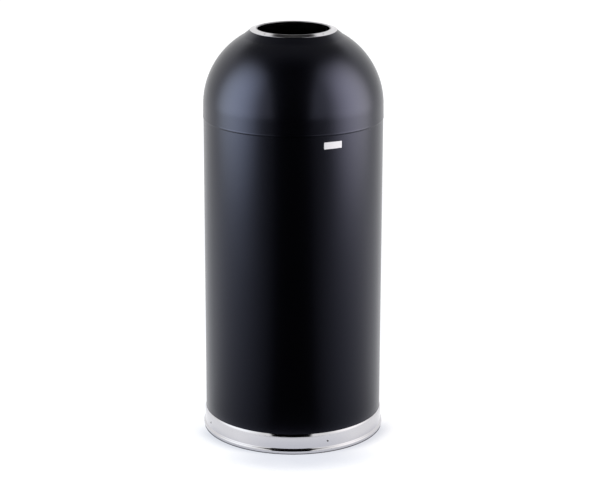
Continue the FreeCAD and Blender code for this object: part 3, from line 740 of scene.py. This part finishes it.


# Near black: partly the rough snapped steel, partly painted shade in the rivet's hole
def pin_end_and_painted_shade_surface(graph):
    breaks = noise(graph, place_on_piece(graph), BREAKS_PER_METRE, detail=4.0)
    return graph.node("BsdfPrincipled", {}, {
        "Base Color": blend_colours(graph, breaks, HOLE_PAINTED_SHADE_DARK, HOLE_PAINTED_SHADE_PALE),
        "Metallic": 1.0,
        "Roughness": PIN_ROUGHNESS + breaks * BREAK_DULLS,
        "Normal": bumps(graph, breaks, BREAK_DEPTH),
    })


pin_end_and_painted_shade = finish("pin_end_and_painted_shade", pin_end_and_painted_shade_surface)

# %% Shape the rivets
RIVET_FACETS = 28
RIVETS_ROUND = 4
HOLE_TAPER = 0.92
PIN_RISE = 0.8
PAINTED_SHADE_ROWS = 2
PAINTED_SHADE_SLOT = 1


def rivet_section(head, dome, shank, pin_hole, hole_depth, length):
    """A rivet standing on its head's underside at height 0, with its shank below."""
    dome_radius = (head ** 2 + dome ** 2) / (2 * dome)
    half_turn = math.degrees(math.asin(head / dome_radius))
    hole_turn = math.degrees(math.asin(pin_hole / dome_radius))
    return (
        [(0, -length), (shank, -length), (shank, 0)]
        + arc((0, dome - dome_radius), dome_radius, 90 - half_turn, 90 - hole_turn, steps=8)
        + [(pin_hole * HOLE_TAPER, dome - hole_depth), (0, dome - hole_depth * PIN_RISE)]
    )


def seat_at(across, up, lean):
    """Stands a piece at this place on the +X side, leaning outward by this angle."""
    return Matrix.Translation((across, 0, up)) @ Matrix.Rotation(lean, 4, "Y")


def rivet_set(name, section, first_turn, seat):
    """Rivets evenly round the can, each set by the matrix that seats one on the +X side."""
    build = bmesh.new()
    for count in range(RIVETS_ROUND):
        turn = FRONT + first_turn + 2 * math.pi * count / RIVETS_ROUND
        add_turned(build, section, RIVET_FACETS, Matrix.Rotation(turn, 4, "Z") @ seat)
        build.faces.ensure_lookup_table()
        # The last rows of faces, the hole's wall and the pin's end, take the painted hole shade
        for face in build.faces[-PAINTED_SHADE_ROWS * RIVET_FACETS:]:
            face.material_index = PAINTED_SHADE_SLOT
    return smooth_mesh(name, build)


# %% Set the rivets
BASE_RIVET_HEIGHT = 24.5 * MM
BASE_RIVET_TURN = math.radians(-3.0)
RING_RIVET_TURN = math.radians(20.3)

base_rivet = rivet_section(head=2.6 * MM, dome=0.7 * MM, shank=1.6 * MM,
                           pin_hole=1.7 * MM, hole_depth=0.8 * MM, length=3.6 * MM)
base_seat = seat_at(BAND_RADIUS + RING_GAP, BASE_RIVET_HEIGHT, math.radians(90))
base_rivets = rivet_set("base_rivet_set", base_rivet, BASE_RIVET_TURN, base_seat)
fit(base_rivets, polished_steel, "can", "bright_trim", "base_rivets")
base_rivets.materials.append(pin_end_and_painted_shade)

ring_rivet = rivet_section(head=2.0 * MM, dome=0.5 * MM, shank=1.2 * MM,
                           pin_hole=1.3 * MM, hole_depth=0.6 * MM, length=2.6 * MM)
ring_seat = seat_at(*on_slope(0, RING_TOP + RING_GAP / 2), SLOPE)
ring_rivets = rivet_set("ring_rivet_set", ring_rivet, RING_RIVET_TURN, ring_seat)
fit(ring_rivets, polished_steel, "dome", "bright_trim", "ring_rivets")
ring_rivets.materials.append(pin_end_and_painted_shade)

# %% [markdown]
# ## Plate on the front
# A small white plate sits high on the front of the body, bent to the drum and with eased edges. A
# flat box would stand off the curve at its ends or sink into it at its middle, so the plate is a
# grid wrapped round the axis, with rounded corners.

# %% Bend a plate to a surface
PLATE_STEPS = 24
CORNER_STEPS = 5
PLATE_EASE = 0.2 * MM


def plate_columns(width, height, corner, shrink):
    """Place along a plate and half height there, from left to right, taken in by this much."""
    wide = width / 2 - corner
    tall = height / 2 - corner
    left = arc((-wide, tall), corner - shrink, 180, 90, CORNER_STEPS)
    middle = [(wide * (2 * step / PLATE_STEPS - 1), tall + corner - shrink)
              for step in range(1, PLATE_STEPS)]
    right = arc((wide, tall), corner - shrink, 90, 0, CORNER_STEPS)
    return left + middle + right


def add_bent_plate(build, size, low, high, place):
    """Adds a plate of a width, height and corner radius between two stands off a surface."""
    rings = []
    for shrink, stand in ((0, low), (0, high - PLATE_EASE), (PLATE_EASE, high)):
        columns = plate_columns(*size, shrink)
        upper = [build.verts.new(place(along, half, stand)) for along, half in columns]
        lower = [build.verts.new(place(along, -half, stand)) for along, half in columns]
        rings.append(upper + lower[::-1])
    for ring, following in zip(rings, rings[1:]):
        for step in range(len(ring)):
            build.faces.new((ring[step - 1], ring[step], following[step], following[step - 1]))
    for ring in (rings[0], rings[-1]):
        for step in range(len(ring) // 2 - 1):
            build.faces.new((ring[step], ring[step + 1], ring[-step - 2], ring[-step - 1]))


# %% Bend the plate on the front
PLATE_WIDTH = 40.1 * MM
PLATE_HEIGHT = 14.5 * MM
PLATE_CORNER = 0.9 * MM
PLATE_SIZE = (PLATE_WIDTH, PLATE_HEIGHT, PLATE_CORNER)
PLATE_GAUGE = 0.7 * MM
PLATE_GAP = 0.1 * MM
PLATE_MIDDLE = 669.4 * MM
PLATE_ASIDE = -1.4 * MM


def on_body(along, up, stand):
    """A point on the drum: along its girth, up from the plate's middle, out from the coat."""
    turn = FRONT + (PLATE_ASIDE + along) / BODY_RADIUS
    out = BODY_RADIUS + stand
    return (out * math.cos(turn), out * math.sin(turn), PLATE_MIDDLE + up)


plate = bmesh.new()
add_bent_plate(plate, PLATE_SIZE, PLATE_GAP, PLATE_GAP + PLATE_GAUGE, on_body)
fit(smooth_mesh("front_plate", plate), white_enamel, "can", "badge_white")

# %% [markdown]
# ## Liner
# The liner is a tapered bucket of galvanised sheet, lapped and spot-welded up one side, with its rim
# rolled over a wire. The rim's roll is three quarters of a circle, drawn as one arc at the end of the
# wall's line. The lap is the sheet's own end laid over its start, so it is a strip of the same gauge
# bent to the wall, and each weld on it is a low round crater that the electrode left.

# %% Draw the liner's wall
LINER_GAUGE = 0.7 * MM
LINER_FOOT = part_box("liner_wall")[0].z
LINER_TAPER = 8.0 * MM
RIM_ROLL = 3.2 * MM
RIM_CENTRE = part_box("liner_wall")[1].x - RIM_ROLL
RIM_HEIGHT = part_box("liner_wall")[1].z - RIM_ROLL
WALL_HEIGHT = RIM_HEIGHT - LINER_FOOT
ROWS_UP_THE_LINER = 10


def inside_liner(up):
    """How far the inner face of the liner's wall is from the axis at a height."""
    return RIM_CENTRE - RIM_ROLL - LINER_TAPER * (RIM_HEIGHT - up) / WALL_HEIGHT


def liner_line():
    rows = range(ROWS_UP_THE_LINER)
    heights = [LINER_FOOT + WALL_HEIGHT * row / ROWS_UP_THE_LINER for row in rows]
    roll = arc((RIM_CENTRE, RIM_HEIGHT), RIM_ROLL, 180, -90, steps=28)
    return [(inside_liner(up), up) for up in heights] + roll


# %% Lap and weld the liner
LAP_TURN = FRONT + math.radians(38)
LAP_WIDTH = 14.0 * MM
LAP_MARGIN = 6.0 * MM
LAP_HEIGHT = WALL_HEIGHT - 2 * LAP_MARGIN
LAP_CORNER = 0.9 * MM
LAP_SIZE = (LAP_WIDTH, LAP_HEIGHT, LAP_CORNER)
LAP_MIDDLE = (RIM_HEIGHT + LINER_FOOT) / 2
LAP_SUNK = 0.1 * MM
WELDS = 9
WELD_RADIUS = 2.3 * MM
WELD_RIM = 0.16 * MM
CRATER = ((0, -1), (1, -1), (1, 0), (0.8, 1), (0.6, 1), (0.4, 0.2), (0, 0.1))


def on_liner(along, up, stand):
    """A point on the liner: along its girth and up from the lap's middle, out from its sheet."""
    out = inside_liner(LAP_MIDDLE + up) + LINER_GAUGE + stand
    turn = LAP_TURN + along / out
    return (out * math.cos(turn), out * math.sin(turn), LAP_MIDDLE + up)


def add_welds(build):
    section = [(WELD_RADIUS * across, WELD_RIM * up) for across, up in CRATER]
    for count in range(WELDS):
        up = LAP_MIDDLE + LAP_HEIGHT * ((count + 0.5) / WELDS - 0.5)
        seat = seat_at(inside_liner(up) + 2 * LINER_GAUGE, up, math.radians(90))
        add_turned(build, section, RIVET_FACETS, Matrix.Rotation(LAP_TURN, 4, "Z") @ seat)


liner = bmesh.new()
add_turned(liner, sheet(liner_line(), -LINER_GAUGE))
add_bent_plate(liner, LAP_SIZE, -LAP_SUNK, LINER_GAUGE, on_liner)
add_welds(liner)
fit(smooth_mesh("rolled_liner", liner), galvanised, "liner", "galvanised", "liner_wall")
dress(galvanised, "liner_bottom", "rim_wire", "bail_ear_right", "bail_ear_left", "ear_rivets",
      "bail_wire")

# %% [markdown]
# ## Grip on the bail
# The grip is moulded round the wire, with rounded ends and shallow grooves for the fingers. It
# follows the bail's own arc, so its rings are laid along that arc, and their radius dips at each
# groove.

# %% Draw the grip's rings
BAIL_REST = math.radians(13.0)
BAIL_RADIUS = 183.5 * MM
GRIP_RADIUS = 7.0 * MM
GRIP_BORE = 2.6 * MM
GRIP_HALF = math.radians(17.0)
GRIP_END = 2.0 * MM
GRIP_RINGS = 108
GRIP_FACETS = 28
GRIP_GROOVES = 9
GROOVE_DEPTH = 0.7 * MM
GROOVE_NARROWS = 4
GROOVES_FADE_OVER = 3


def grip_profile():
    """Angle along the bail and radius of each ring of the grip, from bore to bore."""
    end_turn = GRIP_END / BAIL_RADIUS
    rings = [(-GRIP_HALF, GRIP_BORE)]
    for step in range(GRIP_RINGS + 1):
        turn = GRIP_HALF * (2 * step / GRIP_RINGS - 1)
        to_end = (GRIP_HALF - abs(turn)) / end_turn
        rounding = 1 - math.sqrt(max(0, 1 - (1 - min(1, to_end)) ** 2))
        wave = max(0, math.cos(math.pi * GRIP_GROOVES * turn / GRIP_HALF)) ** GROOVE_NARROWS
        groove = GROOVE_DEPTH * wave * min(1, to_end / GROOVES_FADE_OVER)
        rings.append((turn, GRIP_RADIUS - GRIP_END * rounding - groove))
    return rings + [(GRIP_HALF, GRIP_BORE)]


# %% Mould the grip
bail_swing = next(joint for joint in frame["joints"] if joint["name"] == "bail_swing")


def grip_mesh():
    build = bmesh.new()
    lay = Matrix.Translation(bail_swing["pos_m"]) @ Matrix.Rotation(BAIL_REST, 4, "X")
    ways = [2 * math.pi * facet / GRIP_FACETS for facet in range(GRIP_FACETS)]
    rings = []
    for turn, radius in grip_profile():
        middle = Matrix.Rotation(-turn, 4, "Z") @ Matrix.Translation((0, BAIL_RADIUS, 0))
        ring = [Vector((0, radius * math.cos(way), radius * math.sin(way))) for way in ways]
        rings.append([build.verts.new(lay @ middle @ place) for place in ring])
    for ring, following in zip(rings, rings[1:] + rings[:1]):
        for step in range(GRIP_FACETS):
            after = (step + 1) % GRIP_FACETS
            build.faces.new((ring[step], ring[after], following[after], following[step]))
    return smooth_mesh("moulded_grip", build)


fit(grip_mesh(), grip_plastic, "bail", "grip_plastic", "bail_grip")

# %% [markdown]
# ## Floor and world
# The can stands on a white sheet in a white room. More light would whiten them, but the can with
# them. So the lens and the reflections see a white of their own, and light on its way to a surface
# meets a plain grey. The soft shade in front of the can is partly real shadow in that grey, and
# mostly a painted shadow in the white glow. The glow turns bluish grey where ambient occlusion finds
# the can close: broadly in front of it towards the lens, and in a narrow band at its foot except at
# its back.

# %% Lay the floor
WHITE = (1, 1, 1, 1)
BLACK = (0, 0, 0, 1)
FLOOR_HALF = 12.0
FLOOR_COLOUR = (0.22, 0.225, 0.24, 1)
FLOOR_GLOW_NEAR = (0.86, 0.86, 0.86, 1)
GLOW_GROWS = (1.0, 3.5)
SHADOW_COLOUR = (0.52, 0.53, 0.57, 1)
SHADOW_REACH = 0.22
SHADOW_FADES = (0.76, 0.88)
SHADOW_TURN = math.radians(4)
SHADOW_SIDES = (0.62, 1.05)
CONTACT_REACH = 0.05
CONTACT_FADES = (0.55, 1.0)
CONTACT_SIDES = (-0.05, 0.4)
SKY_SAMPLES = 16


def seen_directly(graph):
    """1 where the lens, a reflection or a clear piece looks, and 0 for light on its way."""
    looks = [graph.node("LightPath", {}, {}, outlet)
             for outlet in ("Is Camera Ray", "Is Glossy Ray", "Is Transmission Ray")]
    return looks[0] + looks[1] + looks[2] > 0.5


def covered_sky(graph, reach, fades):
    """How much of the sky within this reach is hidden from the floor."""
    sky = graph.node("AmbientOcclusion", {"samples": SKY_SAMPLES}, {"Distance": reach}, "AO")
    return 1 - ramp(graph, sky, *fades)


# A painted shadow for the floor's glow: occlusion by the can, kept by a mask to the side towards the
# lens
def painted_floor_shadow(graph, place):
    heading = graph.node("VectorMath", {"operation": "NORMALIZE"}, {"Vector": place})
    in_front = graph.node("VectorMath", {"operation": "DOT_PRODUCT"}, {
        "Vector": heading, "Vector_001": round_the_can(CAMERA_TURN + SHADOW_TURN, 1, 0),
    }, "Value")
    shadow = covered_sky(graph, SHADOW_REACH, SHADOW_FADES) * ramp(graph, in_front, *SHADOW_SIDES)
    contact = covered_sky(graph, CONTACT_REACH, CONTACT_FADES) * ramp(graph, in_front, *CONTACT_SIDES)
    return shadow.at_least(contact)


def floor_surface(graph):
    place = place_on_piece(graph)
    far = ramp(graph, length_of(graph, place), *GLOW_GROWS)
    bright = blend_colours(graph, far, FLOOR_GLOW_NEAR, WHITE)
    # The glow seen by the lens and in reflections is painted bluish grey where the painted shadow
    # falls
    painted_shadow_glow = blend_colours(graph, painted_floor_shadow(graph, place), bright, SHADOW_COLOUR)
    lit = graph.node("BsdfDiffuse", {}, {"Color": FLOOR_COLOUR})
    glow = graph.node("Emission", {}, {
        "Color": blend_colours(graph, seen_directly(graph), BLACK, painted_shadow_glow), "Strength": 1.0,
    })
    return graph.node("AddShader", {}, {"Shader": lit, "Shader_001": glow})


floor_mesh = bpy.data.meshes.new("floor")
floor_corners = [(across * FLOOR_HALF, along * FLOOR_HALF, 0)
                 for across, along in ((-1, -1), (1, -1), (1, 1), (-1, 1))]
floor_mesh.from_pydata(floor_corners, [], [(0, 1, 2, 3)])
floor_mesh.materials.append(finish("white_floor", floor_surface))
floor = bpy.data.objects.new("floor", floor_mesh)
bpy.context.scene.collection.objects.link(floor)

# %% Fill the world
WORLD_GREY = (0.4, 0.4, 0.42, 1)

world = bpy.data.worlds.new("studio")
bpy.context.scene.world = world
studio = Graph(world)
sky = studio.node("Background", {}, {
    "Color": blend_colours(studio, seen_directly(studio), WORLD_GREY, WHITE), "Strength": 1.0,
})
studio.output(sky, "OutputWorld")
print("floor and world are white to the lens")

# %% [markdown]
# ## Dark card
# A dark card runs from in front of the can up over the lens and thins out to a grey veil overhead.
# What it hides from the coat is the black band down the middle, and the bright rings show its edges
# as crisp dark marks. A strip of it high behind the can darkens the near part of the opening ring.
# A flat board would end in straight edges everywhere, so the card is a bent strip, and each of its
# points says how clear the card is there.

# %% Cut the card
CARD_RADIUS = 6.0
CARD_STARTS = 0.281
CARD_OVER_FLOOR = 0.002
CARD_REACHES = (CARD_STARTS, 0.5, 1.0, 2.0, 4.0, CARD_RADIUS)
CARD_SHIFT = -1.7
UPRIGHT = 90
FADE_STEPS = 8
# Degrees to either side up to which the card is dark and from which it is clear, and how clear
# its middle is: along the floor, and at each lift over the can in degrees
CARD_FLOOR_EDGES = (20, 105, 0)
CARD_EDGES = {
    0: (21.5, 24.5, 0), 35: (21.5, 24.5, 0), 68: (21.5, 27, 0), 80: (22, 31, 0.06),
    90: (25, 37, 0.18), 112: (30, 44, 0.18), 122: (29, 44, 0.2), 128: (24, 42, 0.3),
    133: (9, 30, 0.2), 136: (5.1, 5.9, 0.02), 142: (5.1, 5.9, 0.02), 148: (3, 5.9, 1),
}


def card_columns(edges, shift=0):
    """Angles across the card from left to right, each with how clear the card is there."""
    full, clear, least = edges
    shares = [step / FADE_STEPS for step in range(FADE_STEPS + 1)]
    inner = [(full * share, least) for share in shares[:-1]]
    outer = [(full + (clear - full) * share, least + (1 - least) * share) for share in shares]
    half = inner + outer
    return [(math.radians(shift + side * angle), share)
            for side, columns in ((-1, half[:0:-1]), (1, half)) for angle, share in columns]


def card_rows():
    """The card's rows of points: along the floor away from the can, then up and over it."""
    towards = round_the_can(CAMERA_TURN, 1, 0)
    aside = Vector((math.cos(CAMERA_TURN), math.sin(CAMERA_TURN), 0))
    upward = Vector((0, 0, 1))
    for reach in CARD_REACHES:
        yield [((towards * math.cos(angle) + aside * math.sin(angle)) * reach
                + upward * CARD_OVER_FLOOR, clear)
               for angle, clear in card_columns(CARD_FLOOR_EDGES)]
    for lift, edges in CARD_EDGES.items():
        over = towards * math.cos(math.radians(lift)) + upward * math.sin(math.radians(lift))
        yield [((over * math.cos(angle) + aside * math.sin(angle)) * CARD_RADIUS, clear)
               for angle, clear in card_columns(edges, CARD_SHIFT if lift < UPRIGHT else 0)]


def card_mesh():
    rows = list(card_rows())
    wide = len(rows[0])
    places, clears = zip(*(point for row in rows for point in row))
    firsts = [row * wide + column for row in range(len(rows) - 1) for column in range(wide - 1)]
    mesh = bpy.data.meshes.new("dark_card")
    mesh.from_pydata(places, [], [(first, first + 1, first + wide + 1, first + wide)
                                  for first in firsts])
    mesh.attributes.new("clear", "FLOAT", "POINT").data.foreach_set("value", clears)
    return mesh


# %% Hang the card
CARD_BLACK = (0.002, 0.002, 0.002, 1)


def card_surface(graph):
    clear = graph.node("Attribute", {"attribute_name": "clear"}, {}, "Fac")
    dark = graph.node("BsdfDiffuse", {}, {"Color": CARD_BLACK})
    through = graph.node("BsdfTransparent", {}, {})
    return graph.node("MixShader", {}, {"Fac": clear, "Shader": dark, "Shader_001": through})


card = bpy.data.objects.new("dark_card", card_mesh())
card.data.materials.append(finish("dark_card", card_surface))
bpy.context.scene.collection.objects.link(card)
card.visible_camera = False
card.visible_diffuse = False
card.visible_shadow = False

# %% [markdown]
# ## Lamps
# Two tall soft lamps, left and right of the lens, draw the broad lights on the black coat. Each is
# brightest low in its middle and fades to its sides and its top, so that the lights on the coat have
# soft ends. Polished steel and zinc throw back ten times what the coat does, so a photographer flags
# the lamps off them: here they spare the bright pieces, and a weak lamp in the same place lights
# those alone.

# %% Build a soft lamp
LAMP_DISTANCE = 2.0
LAMP_WIDTH = 3.2
LAMP_HEIGHT = 3.75
LAMP_OFF_FLOOR = 0.02
LAMP_RISES = (-0.15, 0.5)
LAMP_FALLS = (1.35, LAMP_HEIGHT)
# A lamp with 4 W to each square metre is as bright as a surface that glows at strength 1
WATTS_PER_BRIGHTNESS = 4 * LAMP_WIDTH * LAMP_HEIGHT


def soft_hill(graph, colour):
    """Light that is brightest low in the middle of a soft box and fades to its sides and top."""
    spot = graph.node("NewGeometry", {}, {}, "Parametric")
    across = part_of(graph, spot, "X")
    up = part_of(graph, spot, "Y") * LAMP_HEIGHT
    hill = across * (1 - across) * 4
    light = hill * hill * ramp(graph, up, *LAMP_RISES) * (1 - ramp(graph, up, *LAMP_FALLS))
    return graph.node("Emission", {}, {
        "Color": blend_colours(graph, light, BLACK, colour), "Strength": 1.0,
    })


def soft_lamp(name, turn, colour, brightness, pieces, lights):
    """A soft box at a turn from the lens, facing the can, that lights or spares these pieces."""
    lamp = bpy.data.lights.new(name, "AREA")
    lamp.shape = "RECTANGLE"
    lamp.size = LAMP_WIDTH
    lamp.size_y = LAMP_HEIGHT
    lamp.energy = brightness * WATTS_PER_BRIGHTNESS
    graph = Graph(lamp)
    graph.output(soft_hill(graph, colour), "OutputLight")
    box = bpy.data.objects.new(name, lamp)
    middle = LAMP_OFF_FLOOR + LAMP_HEIGHT / 2
    box.location = round_the_can(CAMERA_TURN + turn, LAMP_DISTANCE, middle)
    inward = -round_the_can(CAMERA_TURN + turn, 1, 0)
    box.rotation_euler = inward.to_track_quat("-Z", "Y").to_euler()
    box.visible_camera = False
    bpy.context.scene.collection.objects.link(box)
    group = bpy.data.collections.new(name)
    for piece in pieces:
        group.objects.link(piece)
    for entry in group.collection_objects:
        entry.light_linking.link_state = lights
    box.light_linking.receiver_collection = group
    print(f"{name}: {lamp.energy:.0f} W at {math.degrees(turn):.0f} degrees from the lens")


# %% Stand the lamps
LAMP_BRIGHTNESS = 4.7
EDGE_BRIGHTNESS = 0.5
LAMP_SIDES = {
    "left": (math.radians(-75), (0.85, 0.94, 1.0, 1)),
    "right": (math.radians(80), (0.93, 0.89, 0.89, 1)),
}

bright_finishes = {polished_steel.name, galvanised.name}
bright_pieces = [
    piece for piece in bpy.context.scene.objects
    if piece.type == "MESH" and bright_finishes & set(piece.data.materials.keys())
]
for side, (turn, colour) in LAMP_SIDES.items():
    soft_lamp(side + "_lamp", turn, colour, LAMP_BRIGHTNESS, bright_pieces, "EXCLUDE")
    soft_lamp(side + "_edge_lamp", turn, colour, EDGE_BRIGHTNESS, bright_pieces, "INCLUDE")
